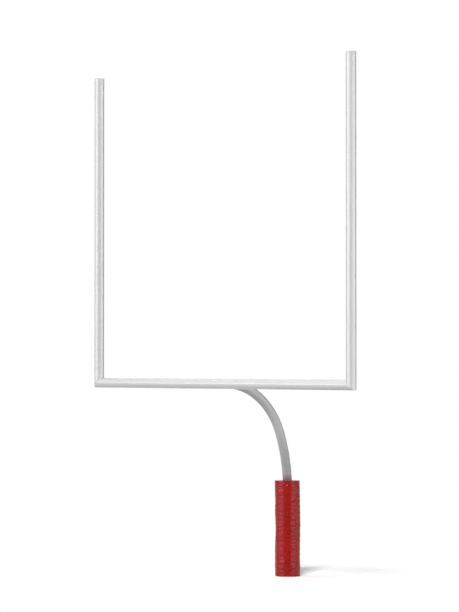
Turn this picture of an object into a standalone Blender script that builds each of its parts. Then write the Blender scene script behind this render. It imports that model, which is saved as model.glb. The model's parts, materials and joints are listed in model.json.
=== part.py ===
"""American football goalpost: crossbar and uprights on a gooseneck post with a wrap-round pad.

Metres, +Z up. The origin is on the ground under the post. +X runs along the crossbar, to
the right as seen from the field, and the field is on the -Y side.
"""

import math

import bmesh
import bpy
from mathutils import Matrix, Vector

# Goal
GOAL_WIDTH = 5.639  # clear width between the uprights
CROSSBAR_TOP = 3.048  # upper side of the crossbar above the ground
UPRIGHT_RISE = 4.750  # top of the uprights above the crossbar's upper side

# Frame tube, the same for crossbar and uprights
FRAME_OD = 0.1524
FRAME_WALL = 0.0048
FRAME_SIDES = 48

# Gooseneck tube and its compound bend, tight at the top and slack further down
NECK_OD = 0.1397
NECK_WALL = 0.0064
NECK_SIDES = 32
NECK_STRAIGHT = 0.137  # from the crossbar's axis to the start of the bend
UPPER_BEND_RADIUS = 1.175
UPPER_BEND_TURN = math.radians(69.4)
LOWER_BEND_RADIUS = 2.485
UPPER_BEND_STEPS = 12
LOWER_BEND_STEPS = 5
COPE_EDGE = 0.004  # tube left before its hollowed end is cut

# Clearances
GAP = 0.0003  # between pieces that touch
SLIP = 0.0005  # between the corner elbow and the tubes it slides into
MITRE_GAP = 0.0004

# Corner elbows and their screws
ELBOW_WALL = 0.006
ELBOW_SIDES = 24
SCREW_FIRST = 0.050  # from the inner corner to the first screw
SCREW_STEP = 0.080
SCREWS_PER_ARM = 2
SCREW_EDGE = 0.030  # elbow beyond the last screw
SCREW_RADIUS = 0.005
SCREW_END = 0.006  # screw beyond the elbow's wall
SCREW_HEAD_RADIUS = 0.010
SCREW_HEAD_HEIGHT = 0.0055
SCREW_HEAD_CHAMFER = 0.003
SCREW_SOCKET_RADIUS = 0.0032
SCREW_SOCKET_DEPTH = 0.003

# Top caps
CAP_FLANGE = 0.007
CAP_CHAMFER = 0.004
CAP_PLUG_DEPTH = 0.035
CAP_PLUG_WALL = 0.005

# Saddle on the gooseneck's end, and the tapped plate inside the crossbar
SADDLE_THICKNESS = 0.010
SADDLE_WIDTH = 0.340
SADDLE_HALF_ARC = math.radians(58)
NUT_PLATE_THICKNESS = 0.010
NUT_PLATE_HALF_ARC = math.radians(44)
PLATE_ARC_STEPS = 12
SADDLE_BOLT_RADIUS = 0.008
SADDLE_BOLT_HEAD = 0.024  # across the flats
SADDLE_BOLT_HEAD_HEIGHT = 0.010
SADDLE_BOLT_EDGE = 0.048  # saddle beyond its bolts' centres
NUT_PLATE_EDGE = 0.028  # tapped plate beyond the same
SADDLE_BOLT_ANGLE = math.radians(24)  # above and below the crossbar's middle
SADDLE_BOLT_END = 0.005  # bolt beyond the tapped plate

# Foot
PLATE_THICKNESS = 0.016  # ground plate
FLANGE_THICKNESS = 0.025
LEVELLING_SPACE = 0.036  # air between ground plate and flange
STUD_RADIUS = 0.010
STUD_OFFSET = 0.055  # from the gooseneck's side to the stud circle
STUD_HOLE_CLEARANCE = 0.0015
STUD_END = 0.010  # stud beyond its top nut
STUD_COUNT = 4
FLANGE_EDGE = 0.033  # flange beyond the stud circle
NUT_FLATS = 0.030
NUT_HEIGHT = 0.016
WASHER_RADIUS = 0.0185
WASHER_THICKNESS = 0.004
GUSSET_COUNT = 4
GUSSET_REACH = 0.070
GUSSET_HEIGHT = 0.110
GUSSET_TOP = 0.016  # width of its upper end
GUSSET_TOE = 0.018  # height of its outer end
GUSSET_THICKNESS = 0.010

# Pad
PAD_HEIGHT = 1.471
PAD_FLOOR_CLEARANCE = 0.002
PAD_SKIRT = 0.025  # foam and cover outside the recess round the foot
PAD_FOOT_CLEARANCE = 0.010  # recess outside the flange and above the gussets
PAD_MOUTH_CLEARANCE = 0.012  # round the gooseneck at the pad's top
PAD_MOUTH_DEPTH = 0.120  # at least so far down from the pad's top
PAD_MOUTH_TAPER = 0.040
PAD_MOUTH_START = 0.012  # mouth below the end of the gooseneck's bend
PAD_RIM_RADIUS = 0.012
PAD_RIM_STEPS = 2
PAD_HEM_HEIGHT = 0.095
PAD_HEM_GROOVE = 0.0018
PAD_HEM_GROOVE_WIDTH = 0.014
PAD_WAIST = 0.0028  # how far the pad draws in
PAD_WAIST_PLACE = 0.44  # share of the pad's height
PAD_WAIST_SPREAD = 0.28  # the same, above and below that place
PAD_WAIST_STEPS = 4
PAD_STEPS = 32
PANEL_SPLIT = 0.0010  # between the side walls of two panels
COVER_THICKNESS = 0.0015
WELT_RADIUS = 0.0035
WELT_SUNK = 0.0015  # welt's centre inside the pad's outer face
WELT_STEPS = 3
WELT_END = 0.014  # pad beyond the welt's ends
FLAP_THICKNESS = 0.0020
FLAP_OVERLAP = 0.075
FLAP_ROOT = 0.030
FLAP_END = 0.030  # pad beyond the flap's ends
STRIP_THICKNESS = 0.0012
STRIP_WIDTH = 0.050
STRIP_FROM_EDGE = 0.014

# Modelling
TURN_MERGE = 0.0001
CURVE_MERGE = 0.00001
SHARP_ANGLE = math.radians(35)
HOLE_SIDES = 12
ROUND_SIDES = 16
CUT_MARGIN = 0.05  # how far a cutter passes the faces it cuts

# Places worked out from the sizes above
FRAME_RADIUS = FRAME_OD / 2
FRAME_BORE = FRAME_RADIUS - FRAME_WALL
NECK_RADIUS = NECK_OD / 2
CROSSBAR_Z = CROSSBAR_TOP - FRAME_RADIUS
UPRIGHT_X = GOAL_WIDTH / 2 + FRAME_RADIUS
UPRIGHT_TOP = CROSSBAR_TOP + UPRIGHT_RISE
UPPER_BEND_BACK = UPPER_BEND_RADIUS * math.sin(UPPER_BEND_TURN)
UPPER_BEND_DROP = UPPER_BEND_RADIUS * (1 - math.cos(UPPER_BEND_TURN))
LOWER_BEND_BACK = LOWER_BEND_RADIUS * (1 - math.sin(UPPER_BEND_TURN))
LOWER_BEND_DROP = LOWER_BEND_RADIUS * math.cos(UPPER_BEND_TURN)
SETBACK = NECK_STRAIGHT + UPPER_BEND_BACK + LOWER_BEND_BACK
BEND_END_Z = CROSSBAR_Z - UPPER_BEND_DROP - LOWER_BEND_DROP
CROSSBAR_CENTRE = Vector((0, -SETBACK, CROSSBAR_Z))
SADDLE_INNER = FRAME_RADIUS + GAP
SADDLE_OUTER = SADDLE_INNER + SADDLE_THICKNESS
NUT_PLATE_OUTER = FRAME_BORE - GAP
NUT_PLATE_INNER = NUT_PLATE_OUTER - NUT_PLATE_THICKNESS
SADDLE_BOLT_X = SADDLE_WIDTH / 2 - SADDLE_BOLT_EDGE
NUT_PLATE_WIDTH = 2 * (SADDLE_BOLT_X + NUT_PLATE_EDGE)
STUD_CIRCLE = NECK_RADIUS + STUD_OFFSET
FLANGE_RADIUS = STUD_CIRCLE + FLANGE_EDGE
FLANGE_BOTTOM = PLATE_THICKNESS + LEVELLING_SPACE
FLANGE_TOP = FLANGE_BOTTOM + FLANGE_THICKNESS
FOOT_Z = FLANGE_TOP + GAP
WASHER_BOTTOM = FLANGE_TOP + GAP
TOP_NUT_BOTTOM = WASHER_BOTTOM + WASHER_THICKNESS + GAP
STUD_TOP = TOP_NUT_BOTTOM + NUT_HEIGHT + STUD_END
RECESS_RADIUS = FLANGE_RADIUS + PAD_FOOT_CLEARANCE
RECESS_TOP = max(FOOT_Z + GUSSET_HEIGHT, STUD_TOP) + PAD_FOOT_CLEARANCE
PAD_RADIUS = RECESS_RADIUS + PAD_SKIRT
PAD_BOTTOM = PAD_FLOOR_CLEARANCE
PAD_TOP = PAD_BOTTOM + PAD_HEIGHT
PAD_BORE = NECK_RADIUS + GAP
MOUTH_BOTTOM = min(BEND_END_Z - PAD_MOUTH_START, PAD_TOP - PAD_MOUTH_DEPTH)
NECK_RISE = max(0.0, PAD_TOP - BEND_END_Z)
NECK_LEAN = LOWER_BEND_RADIUS - math.sqrt(LOWER_BEND_RADIUS**2 - NECK_RISE**2)
MOUTH_RADIUS = NECK_RADIUS + NECK_LEAN + PAD_MOUTH_CLEARANCE
HINGE_RADIUS = PAD_RADIUS - WELT_SUNK
WELT_GROOVE = WELT_RADIUS + GAP
HEM_Z = PAD_TOP - PAD_HEM_HEIGHT
LOOP_STRIP_FACE = GAP + STRIP_THICKNESS
HOOK_STRIP_BACK = LOOP_STRIP_FACE + GAP
HOOK_STRIP_FACE = HOOK_STRIP_BACK + STRIP_THICKNESS
FLAP_BACK = HOOK_STRIP_FACE + GAP
FLAP_FACE = FLAP_BACK + FLAP_THICKNESS
CLOSURE_ANGLE = math.pi / 2  # the closing seam is at the back


def clear_scene():
    for obj in list(bpy.data.objects):
        bpy.data.objects.remove(obj)


def new_collection(name):
    collection = bpy.data.collections.new(name)
    bpy.context.scene.collection.children.link(collection)
    return collection


def new_material(name, color, roughness, metallic=0.0):
    material = bpy.data.materials.new(name)
    material.use_nodes = True
    shader = material.node_tree.nodes["Principled BSDF"]
    shader.inputs["Base Color"].default_value = (*color, 1.0)
    shader.inputs["Roughness"].default_value = roughness
    shader.inputs["Metallic"].default_value = metallic
    material.diffuse_color = (*color, 1.0)
    return material


clear_scene()
PARTS = new_collection("american_football_goalpost")
CUTTERS = new_collection("cutters")
WHITE_PAINT = new_material("white_paint", (0.80, 0.80, 0.80), 0.35)
WHITE_PLASTIC = new_material("white_plastic", (0.75, 0.75, 0.74), 0.5)
GALVANISED = new_material("galvanised_steel", (0.55, 0.56, 0.57), 0.4, 0.9)
RED_VINYL = new_material("red_vinyl", (0.38, 0.02, 0.02), 0.4)
FOAM = new_material("pad_foam", (0.75, 0.72, 0.60), 0.95)
HOOK_AND_LOOP = new_material("hook_and_loop", (0.03, 0.03, 0.03), 0.95)


def smooth(mesh):
    mesh.shade_smooth()
    mesh.set_sharp_from_angle(angle=SHARP_ANGLE)


def finished_mesh(bm, name):
    bmesh.ops.recalc_face_normals(bm, faces=bm.faces)
    mesh = bpy.data.meshes.new(name)
    bm.to_mesh(mesh)
    bm.free()
    smooth(mesh)
    return mesh


def add_part(name, mesh, material, matrix=None):
    obj = bpy.data.objects.new(name, mesh)
    if matrix is not None:
        obj.matrix_world = matrix
    if not mesh.materials:
        mesh.materials.append(material)
    PARTS.objects.link(obj)
    return obj


def add_cutter(name, mesh, matrix=None):
    obj = bpy.data.objects.new(name, mesh)
    if matrix is not None:
        obj.matrix_world = matrix
    obj.hide_render = True
    obj.display_type = "WIRE"
    CUTTERS.objects.link(obj)
    return obj


def boolean(obj, tool, operation="DIFFERENCE"):
    modifier = obj.modifiers.new(tool.name, "BOOLEAN")
    modifier.operation = operation
    modifier.solver = "EXACT"
    modifier.object = tool


def evaluated_mesh(obj):
    """The object's mesh with its modifiers, or its curve's surface, in its own space."""
    bpy.context.view_layer.update()
    graph = bpy.context.evaluated_depsgraph_get()
    return bpy.data.meshes.new_from_object(obj.evaluated_get(graph))


def mesh_of_curve(curve):
    """The curve's filled surface as a closed mesh."""
    guide = bpy.data.objects.new(curve.name, curve)
    CUTTERS.objects.link(guide)
    mesh = evaluated_mesh(guide)
    bpy.data.objects.remove(guide)
    bm = bmesh.new()
    bm.from_mesh(mesh)
    bmesh.ops.remove_doubles(bm, verts=bm.verts, dist=CURVE_MERGE)
    return finished_mesh(bm, curve.name)


def cylinder_mesh(name, radius, bottom, top, sides=HOLE_SIDES):
    bm = bmesh.new()
    bmesh.ops.create_cone(
        bm,
        cap_ends=True,
        segments=sides,
        radius1=radius,
        radius2=radius,
        depth=top - bottom,
        matrix=Matrix.Translation((0, 0, (top + bottom) / 2)),
    )
    return finished_mesh(bm, name)


def plate_mesh(name, outlines, bottom, top):
    """A plate with the first outline as its edge and the others as its holes."""
    curve = bpy.data.curves.new(name, "CURVE")
    curve.dimensions = "2D"
    curve.fill_mode = "BOTH"
    curve.extrude = (top - bottom) / 2
    for outline in outlines:
        spline = curve.splines.new("POLY")
        spline.points.add(len(outline) - 1)
        for point, (x, y) in zip(spline.points, outline):
            point.co = (x, y, 0, 1)
        spline.use_cyclic_u = True
    mesh = mesh_of_curve(curve)
    mesh.transform(Matrix.Translation((0, 0, (top + bottom) / 2)))
    return mesh


def circle(radius, sides=ROUND_SIDES, centre=(0, 0), start=0.0):
    turns = [start + 2 * math.pi * i / sides for i in range(sides)]
    return [
        (centre[0] + radius * math.cos(a), centre[1] + radius * math.sin(a)) for a in turns
    ]


def arc(radius, start, end, steps):
    angles = [start + (end - start) * i / steps for i in range(steps + 1)]
    return [(radius * math.cos(a), radius * math.sin(a)) for a in angles]


def sector(inner, outer, half_arc):
    """A curved plate's section about its cylinder's axis, centred on the first axis."""
    return arc(outer, -half_arc, half_arc, PLATE_ARC_STEPS) + arc(
        inner, half_arc, -half_arc, PLATE_ARC_STEPS
    )


def tube_mesh(name, route, radius, bore, sides, across, ends=(None, None)):
    """A hollow tube along the route's points, mitred where it turns.

    across is square to the whole route, and ends are the normals of its end faces where
    these aren't square to it.
    """
    runs = [(b - a).normalized() for a, b in zip(route, route[1:])]
    planes = [ends[0] or runs[0]]
    planes += [(a + b).normalized() for a, b in zip(runs, runs[1:])]
    planes.append(ends[1] or runs[-1])
    frame = Matrix((across, runs[0].cross(across), runs[0])).transposed().to_4x4()
    frame.translation = route[0]
    bm = bmesh.new()
    for size in (radius, bore):
        bmesh.ops.create_circle(bm, segments=sides, radius=size, matrix=frame)
    bmesh.ops.bridge_loops(bm, edges=bm.edges)
    for vert in bm.verts:
        vert.co += runs[0] * ((route[0] - vert.co).dot(planes[0]) / runs[0].dot(planes[0]))
    section = list(bm.faces)
    inner_sections = []
    for run, point, plane in zip(runs, route[1:], planes[1:]):
        grown = bmesh.ops.extrude_face_region(bm, geom=section)["geom"]
        for vert in (g for g in grown if isinstance(g, bmesh.types.BMVert)):
            vert.co += run * ((point - vert.co).dot(plane) / run.dot(plane))
        section = [g for g in grown if isinstance(g, bmesh.types.BMFace)]
        inner_sections += section
    inner = inner_sections[: -len(section)]
    bmesh.ops.delete(bm, geom=inner, context="FACES_ONLY")
    return finished_mesh(bm, name)


def turn(obj, steps):
    """Turns the object's profile once about its own Z axis."""
    screw = obj.modifiers.new("turn", "SCREW")
    screw.axis = "Z"
    screw.angle = 2 * math.pi
    screw.steps = steps
    screw.render_steps = steps
    screw.use_merge_vertices = True
    screw.merge_threshold = TURN_MERGE


def profile_mesh(name, profile, closed=False):
    """Points (radius, height) joined by edges, down the outer side first."""
    bm = bmesh.new()
    verts = [bm.verts.new((radius, 0, height)) for radius, height in profile]
    for a, b in zip(verts, verts[1:] + verts[:1] if closed else verts[1:]):
        bm.edges.new((a, b))
    mesh = bpy.data.meshes.new(name)
    bm.to_mesh(mesh)
    bm.free()
    return mesh


def turned_mesh(name, profile, steps=ROUND_SIDES):
    """A solid turned from a profile that starts and ends on its axis."""
    blank = add_cutter(name, profile_mesh(name, profile))
    turn(blank, steps)
    mesh = evaluated_mesh(blank)
    bpy.data.objects.remove(blank)
    smooth(mesh)
    return mesh


def facing(direction, origin):
    """Places a fastener: its +Z along the direction, its seat at the origin."""
    turned = Vector(direction).to_track_quat("Z", "Y").to_matrix().to_4x4()
    return Matrix.Translation(origin) @ turned


# Crossbar, uprights and their corners


def make_frame_tubes():
    """The crossbar and uprights, cut to meet at 45 degrees in the lower corners."""
    y, z = CROSSBAR_CENTRE.yz
    shift = MITRE_GAP / math.sqrt(2)
    tube_top = UPRIGHT_TOP - CAP_FLANGE - GAP
    across = Vector((0, 1, 0))
    mitres = [Vector((side, 0, 1)).normalized() for side in (-1, 1)]
    route = [Vector((side * (UPRIGHT_X - shift), y, z)) for side in (-1, 1)]
    size = (FRAME_RADIUS, FRAME_BORE, FRAME_SIDES)
    mesh = tube_mesh("crossbar", route, *size, across, mitres)
    crossbar = add_part("crossbar", mesh, WHITE_PAINT)
    uprights = []
    for side, name, mitre in zip((-1, 1), ("left_upright", "right_upright"), mitres):
        x = side * UPRIGHT_X
        route = [Vector((x, y, z + shift)), Vector((x, y, tube_top))]
        mesh = tube_mesh(name, route, *size, across, (mitre, None))
        uprights.append(add_part(name, mesh, WHITE_PAINT))
    return crossbar, uprights


def screw_places():
    """Distances of a corner's screws from the corner's centre, along one arm."""
    first = FRAME_RADIUS + SCREW_FIRST
    return [first + SCREW_STEP * i for i in range(SCREWS_PER_ARM)]


def screw_mesh():
    """A button-head screw with a round socket, its seat at height 0."""
    length = FRAME_WALL + SLIP + ELBOW_WALL + SCREW_END
    socket_floor = SCREW_HEAD_HEIGHT - SCREW_SOCKET_DEPTH
    profile = [
        (0, socket_floor),
        (SCREW_SOCKET_RADIUS, socket_floor),
        (SCREW_SOCKET_RADIUS, SCREW_HEAD_HEIGHT),
        (SCREW_HEAD_RADIUS - SCREW_HEAD_CHAMFER, SCREW_HEAD_HEIGHT),
        (SCREW_HEAD_RADIUS, SCREW_HEAD_HEIGHT - SCREW_HEAD_CHAMFER),
        (SCREW_HEAD_RADIUS, 0),
        (SCREW_RADIUS, 0),
        (SCREW_RADIUS, -length),
        (0, -length),
    ]
    return turned_mesh("corner_screw", profile, HOLE_SIDES)


def make_corners(crossbar, uprights):
    """The elbows inside the mitred corners, and the screws that hold them from behind."""
    y, z = CROSSBAR_CENTRE.yz
    arm = screw_places()[-1] + SCREW_EDGE
    outer = FRAME_BORE - SLIP
    back = Vector((0, 1, 0))
    mesh = screw_mesh()
    hole = cylinder_mesh("screw_hole", SCREW_RADIUS + GAP, -CUT_MARGIN, CUT_MARGIN)
    for side, name, upright in zip((-1, 1), ("left", "right"), uprights):
        corner = Vector((side * UPRIGHT_X, y, z))
        inward = Vector((-side, 0, 0))
        upward = Vector((0, 0, 1))
        route = [corner + inward * arm, corner, corner + upward * arm]
        elbow_mesh = tube_mesh(
            name + "_corner_elbow", route, outer, outer - ELBOW_WALL, ELBOW_SIDES, back
        )
        elbow = add_part(name + "_corner_elbow", elbow_mesh, GALVANISED)
        for way, tube, label in ((inward, crossbar, "bar"), (upward, upright, "post")):
            for number, distance in enumerate(screw_places(), 1):
                title = f"{name}_{label}_screw_{number}"
                seat = corner + way * distance + back * (FRAME_RADIUS + GAP)
                add_part(title, mesh, GALVANISED, facing(back, seat))
                drill = add_cutter(title + "_hole", hole, facing(back, seat))
                boolean(tube, drill)
                boolean(elbow, drill)


def make_top_caps():
    """Plugs that close the uprights' upper ends."""
    plug = FRAME_BORE - SLIP
    profile = [
        (0, 0),
        (FRAME_RADIUS - CAP_CHAMFER, 0),
        (FRAME_RADIUS, -CAP_CHAMFER),
        (FRAME_RADIUS, -CAP_FLANGE),
        (plug, -CAP_FLANGE),
        (plug, -CAP_FLANGE - CAP_PLUG_DEPTH),
        (plug - CAP_PLUG_WALL, -CAP_FLANGE - CAP_PLUG_DEPTH),
        (plug - CAP_PLUG_WALL, -CAP_FLANGE),
        (0, -CAP_FLANGE),
    ]
    mesh = turned_mesh("top_cap", profile, FRAME_SIDES)
    for side, name in zip((-1, 1), ("left_top_cap", "right_top_cap")):
        place = Matrix.Translation((side * UPRIGHT_X, -SETBACK, UPRIGHT_TOP))
        add_part(name, mesh, WHITE_PLASTIC, place)


# Gooseneck and its seat on the crossbar


def bend_points(centre, radius, start, end, steps):
    """Points on a bend in the upright plane; the angle is the route's fall from level."""
    angles = [start + (end - start) * i / steps for i in range(1, steps + 1)]
    return [
        centre + Vector((0, radius * math.sin(a), radius * math.cos(a))) for a in angles
    ]


def make_gooseneck():
    """The post's tube: back from the crossbar, round its compound bend and down."""
    deepest = math.sqrt(max(0.0, SADDLE_OUTER**2 - NECK_RADIUS**2))
    start = CROSSBAR_CENTRE + Vector((0, deepest - COPE_EDGE, 0))
    bend = CROSSBAR_CENTRE + Vector((0, NECK_STRAIGHT, 0))
    upper = bend - Vector((0, 0, UPPER_BEND_RADIUS))
    lower = Vector((0, -LOWER_BEND_RADIUS, BEND_END_Z))
    route = [start, bend]
    route += bend_points(upper, UPPER_BEND_RADIUS, 0, UPPER_BEND_TURN, UPPER_BEND_STEPS)
    route += bend_points(
        lower, LOWER_BEND_RADIUS, UPPER_BEND_TURN, math.pi / 2, LOWER_BEND_STEPS
    )
    route.append(Vector((0, 0, FOOT_Z)))
    across = Vector((1, 0, 0))
    bore = NECK_RADIUS - NECK_WALL
    mesh = tube_mesh("gooseneck", route, NECK_RADIUS, bore, NECK_SIDES, across)
    neck = add_part("gooseneck", mesh, GALVANISED)
    # The end is hollowed to fit the saddle's round back
    length = NECK_OD
    cope = cylinder_mesh("cope", SADDLE_OUTER + GAP, -length, length, FRAME_SIDES)
    boolean(neck, add_cutter("neck_cope", cope, facing((1, 0, 0), CROSSBAR_CENTRE)))


def curved_plate(name, inner, outer, half_arc, width):
    """A plate bent about the crossbar's axis, centred behind it."""
    mesh = plate_mesh(name, [sector(inner, outer, half_arc)], -width / 2, width / 2)
    # Outline x becomes world Y and outline y becomes world Z
    turned = Matrix(((0, 0, 1), (1, 0, 0), (0, 1, 0))).to_4x4()
    return add_part(name, mesh, GALVANISED, Matrix.Translation(CROSSBAR_CENTRE) @ turned)


def make_saddle(crossbar):
    """The plate on the gooseneck's end, bolted through the crossbar's back."""
    saddle = curved_plate(
        "neck_saddle", SADDLE_INNER, SADDLE_OUTER, SADDLE_HALF_ARC, SADDLE_WIDTH
    )
    saddle.data.materials[0] = GALVANISED
    nut_plate = curved_plate(
        "crossbar_nut_plate",
        NUT_PLATE_INNER,
        NUT_PLATE_OUTER,
        NUT_PLATE_HALF_ARC,
        NUT_PLATE_WIDTH,
    )
    seat_radius = SADDLE_OUTER + GAP
    grip = seat_radius - NUT_PLATE_INNER + SADDLE_BOLT_END
    mesh = bolt_mesh(grip)
    hole = cylinder_mesh("bolt_hole", SADDLE_BOLT_RADIUS + GAP, -CUT_MARGIN, CUT_MARGIN)
    number = 0
    for side in (-1, 1):
        for rise in (-1, 1):
            number += 1
            angle = rise * SADDLE_BOLT_ANGLE
            way = Vector((0, math.cos(angle), math.sin(angle)))
            along = Vector((side * SADDLE_BOLT_X, 0, 0))
            place = facing(way, CROSSBAR_CENTRE + along + way * seat_radius)
            add_part(f"saddle_bolt_{number}", mesh, GALVANISED, place)
            drill = add_cutter(f"saddle_bolt_hole_{number}", hole, place)
            for plate in (saddle, crossbar, nut_plate):
                boolean(plate, drill)


def bolt_mesh(length):
    """A hexagon-head bolt, its seat at height 0 and its shank below."""
    head_radius = SADDLE_BOLT_HEAD / math.sqrt(3)
    head = cylinder_mesh("bolt_head", head_radius, 0, SADDLE_BOLT_HEAD_HEIGHT, 6)
    middle = SADDLE_BOLT_HEAD_HEIGHT / 2
    shank = cylinder_mesh("bolt_shank", SADDLE_BOLT_RADIUS, -length, middle)
    blank = add_cutter("bolt_blank", head)
    tool = add_cutter("bolt_shank", shank)
    boolean(blank, tool, "UNION")
    mesh = evaluated_mesh(blank)
    bpy.data.objects.remove(blank)
    bpy.data.objects.remove(tool)
    smooth(mesh)
    return mesh


# Foot of the post


def stud_angles():
    start = math.pi / STUD_COUNT
    return [start + 2 * math.pi * i / STUD_COUNT for i in range(STUD_COUNT)]


def drilled_disc(name, radius, bottom, top, hole_radius):
    holes = []
    for angle in stud_angles():
        centre = (STUD_CIRCLE * math.cos(angle), STUD_CIRCLE * math.sin(angle))
        holes.append(circle(hole_radius, HOLE_SIDES, centre, angle))
    mesh = plate_mesh(name, [circle(radius, FRAME_SIDES), *holes], bottom, top)
    return add_part(name, mesh, GALVANISED)


def make_base():
    """Ground plate, levelled flange and gussets."""
    drilled_disc("ground_plate", FLANGE_RADIUS, 0, PLATE_THICKNESS, STUD_RADIUS + GAP)
    hole = STUD_RADIUS + STUD_HOLE_CLEARANCE
    drilled_disc("base_flange", FLANGE_RADIUS, FLANGE_BOTTOM, FLANGE_TOP, hole)
    inner = NECK_RADIUS + GAP
    outline = [
        (inner, FOOT_Z),
        (inner + GUSSET_REACH, FOOT_Z),
        (inner + GUSSET_REACH, FOOT_Z + GUSSET_TOE),
        (inner + GUSSET_TOP, FOOT_Z + GUSSET_HEIGHT),
        (inner, FOOT_Z + GUSSET_HEIGHT),
    ]
    half = GUSSET_THICKNESS / 2
    mesh = plate_mesh("gusset", [outline], -half, half)
    standing = Matrix.Rotation(math.pi / 2, 4, "X")
    for number in range(GUSSET_COUNT):
        turned = Matrix.Rotation(2 * math.pi * number / GUSSET_COUNT, 4, "Z")
        add_part(f"gusset_{number + 1}", mesh, GALVANISED, turned @ standing)


def make_studs():
    """The anchor studs, each with its levelling nut, washer and top nut."""
    bore = circle(STUD_RADIUS + GAP, HOLE_SIDES)
    hexagon = circle(NUT_FLATS / math.sqrt(3), 6)
    nut = plate_mesh("nut", [hexagon, bore], 0, NUT_HEIGHT)
    washer = plate_mesh("washer", [circle(WASHER_RADIUS), bore], 0, WASHER_THICKNESS)
    stud = cylinder_mesh("stud", STUD_RADIUS, 0, STUD_TOP)
    levels = (
        ("anchor_stud", stud, 0),
        ("levelling_nut", nut, FLANGE_BOTTOM - GAP - NUT_HEIGHT),
        ("stud_washer", washer, WASHER_BOTTOM),
        ("top_nut", nut, TOP_NUT_BOTTOM),
    )
    for number, angle in enumerate(stud_angles(), 1):
        x = STUD_CIRCLE * math.cos(angle)
        y = STUD_CIRCLE * math.sin(angle)
        for name, mesh, height in levels:
            place = Matrix.Translation((x, y, height)) @ Matrix.Rotation(angle, 4, "Z")
            add_part(f"{name}_{number}", mesh, GALVANISED, place)


# Pad


def waist(z):
    """How far the pad is drawn in at a height."""
    place = PAD_BOTTOM + PAD_WAIST_PLACE * PAD_HEIGHT
    off = (z - place) / (PAD_WAIST_SPREAD * PAD_HEIGHT)
    return PAD_WAIST * (1 + math.cos(math.pi * min(1.0, abs(off)))) / 2


def waist_heights():
    """Heights down the pad at which its drawn-in stretch is followed."""
    top = PAD_BOTTOM + (PAD_WAIST_PLACE + PAD_WAIST_SPREAD) * PAD_HEIGHT
    fall = 2 * PAD_WAIST_SPREAD * PAD_HEIGHT / PAD_WAIST_STEPS
    return [top - fall * i for i in range(PAD_WAIST_STEPS + 1)]


def pad_outside(inset):
    """The pad's outer side from top to bottom, drawn inwards by the inset."""
    centre = PAD_RADIUS - PAD_RIM_RADIUS
    quarter = math.pi / 2
    top_rim = arc(PAD_RIM_RADIUS - inset, quarter, 0, PAD_RIM_STEPS)
    bottom_rim = arc(PAD_RIM_RADIUS - inset, 0, -quarter, PAD_RIM_STEPS)
    side = PAD_RADIUS - inset
    half = PAD_HEM_GROOVE_WIDTH / 2
    points = [(centre + x, PAD_TOP - PAD_RIM_RADIUS + z) for x, z in top_rim]
    points += [(side, HEM_Z + half), (side - PAD_HEM_GROOVE, HEM_Z), (side, HEM_Z - half)]
    points += [(side - waist(z), z) for z in waist_heights()]
    points += [(centre + x, PAD_BOTTOM + PAD_RIM_RADIUS + z) for x, z in bottom_rim]
    return points


def pad_inside(inset):
    """The pad's inner side from bottom to top: foot recess, bore and mouth."""
    return [
        (RECESS_RADIUS, PAD_BOTTOM + inset),
        (RECESS_RADIUS, RECESS_TOP),
        (PAD_BORE, RECESS_TOP),
        (PAD_BORE, MOUTH_BOTTOM),
        (MOUTH_RADIUS, MOUTH_BOTTOM + PAD_MOUTH_TAPER),
        (MOUTH_RADIUS, PAD_TOP - inset),
    ]


def panel_mesh(name, inset, inside, core=None):
    """A quarter of the pad between +X and +Y, its faces drawn inwards by the inset."""
    profile = profile_mesh(name, pad_outside(inset) + inside, closed=True)
    block = add_cutter(name, profile)
    turn(block, PAD_STEPS)
    low = PANEL_SPLIT / 2 + inset
    high = PAD_RADIUS + CUT_MARGIN
    square = [(low, low), (high, low), (high, high), (low, high)]
    top = PAD_TOP + CUT_MARGIN
    corner = add_cutter(
        name + "_corner", plate_mesh("corner", [square], -CUT_MARGIN, top)
    )
    boolean(block, corner, "INTERSECT")
    groove = cylinder_mesh("welt_groove", WELT_GROOVE + inset, -CUT_MARGIN, top)
    tools = [corner]
    for x, y in ((HINGE_RADIUS, 0), (0, HINGE_RADIUS)):
        tools.append(add_cutter(name + "_groove", groove, Matrix.Translation((x, y, 0))))
        boolean(block, tools[-1])
    if core:
        tools.append(add_cutter(name + "_core", core))
        boolean(block, tools[-1])
    mesh = evaluated_mesh(block)
    for obj in (block, *tools):
        bpy.data.objects.remove(obj)
    smooth(mesh)
    return mesh


def wrap_mesh(name, back, face, start, end):
    """A strip that lies on the pad between two angles, from back to face outside it."""
    bottom = PAD_BOTTOM + FLAP_END
    top = PAD_TOP - FLAP_END
    heights = [top] + [z for z in waist_heights() if bottom < z < top] + [bottom]
    outer = [(PAD_RADIUS - waist(z) + face, z) for z in heights]
    inner = [(PAD_RADIUS - waist(z) + back, z) for z in reversed(heights)]
    strip = add_cutter(name, profile_mesh(name, outer + inner, closed=True))
    turn(strip, PAD_STEPS)
    reach = PAD_RADIUS / math.cos((end - start) / 2) + CUT_MARGIN
    corners = [(reach * math.cos(a), reach * math.sin(a)) for a in (start, end)]
    wedge = plate_mesh("wedge", [[(0, 0), *corners]], -CUT_MARGIN, PAD_TOP + CUT_MARGIN)
    tool = add_cutter(name + "_wedge", wedge)
    boolean(strip, tool, "INTERSECT")
    mesh = evaluated_mesh(strip)
    bpy.data.objects.remove(strip)
    bpy.data.objects.remove(tool)
    smooth(mesh)
    return mesh


def joined_mesh(first, second):
    blank = add_cutter("blank", first)
    tool = add_cutter("tool", second)
    boolean(blank, tool, "UNION")
    mesh = evaluated_mesh(blank)
    bpy.data.objects.remove(blank)
    bpy.data.objects.remove(tool)
    smooth(mesh)
    return mesh


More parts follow.
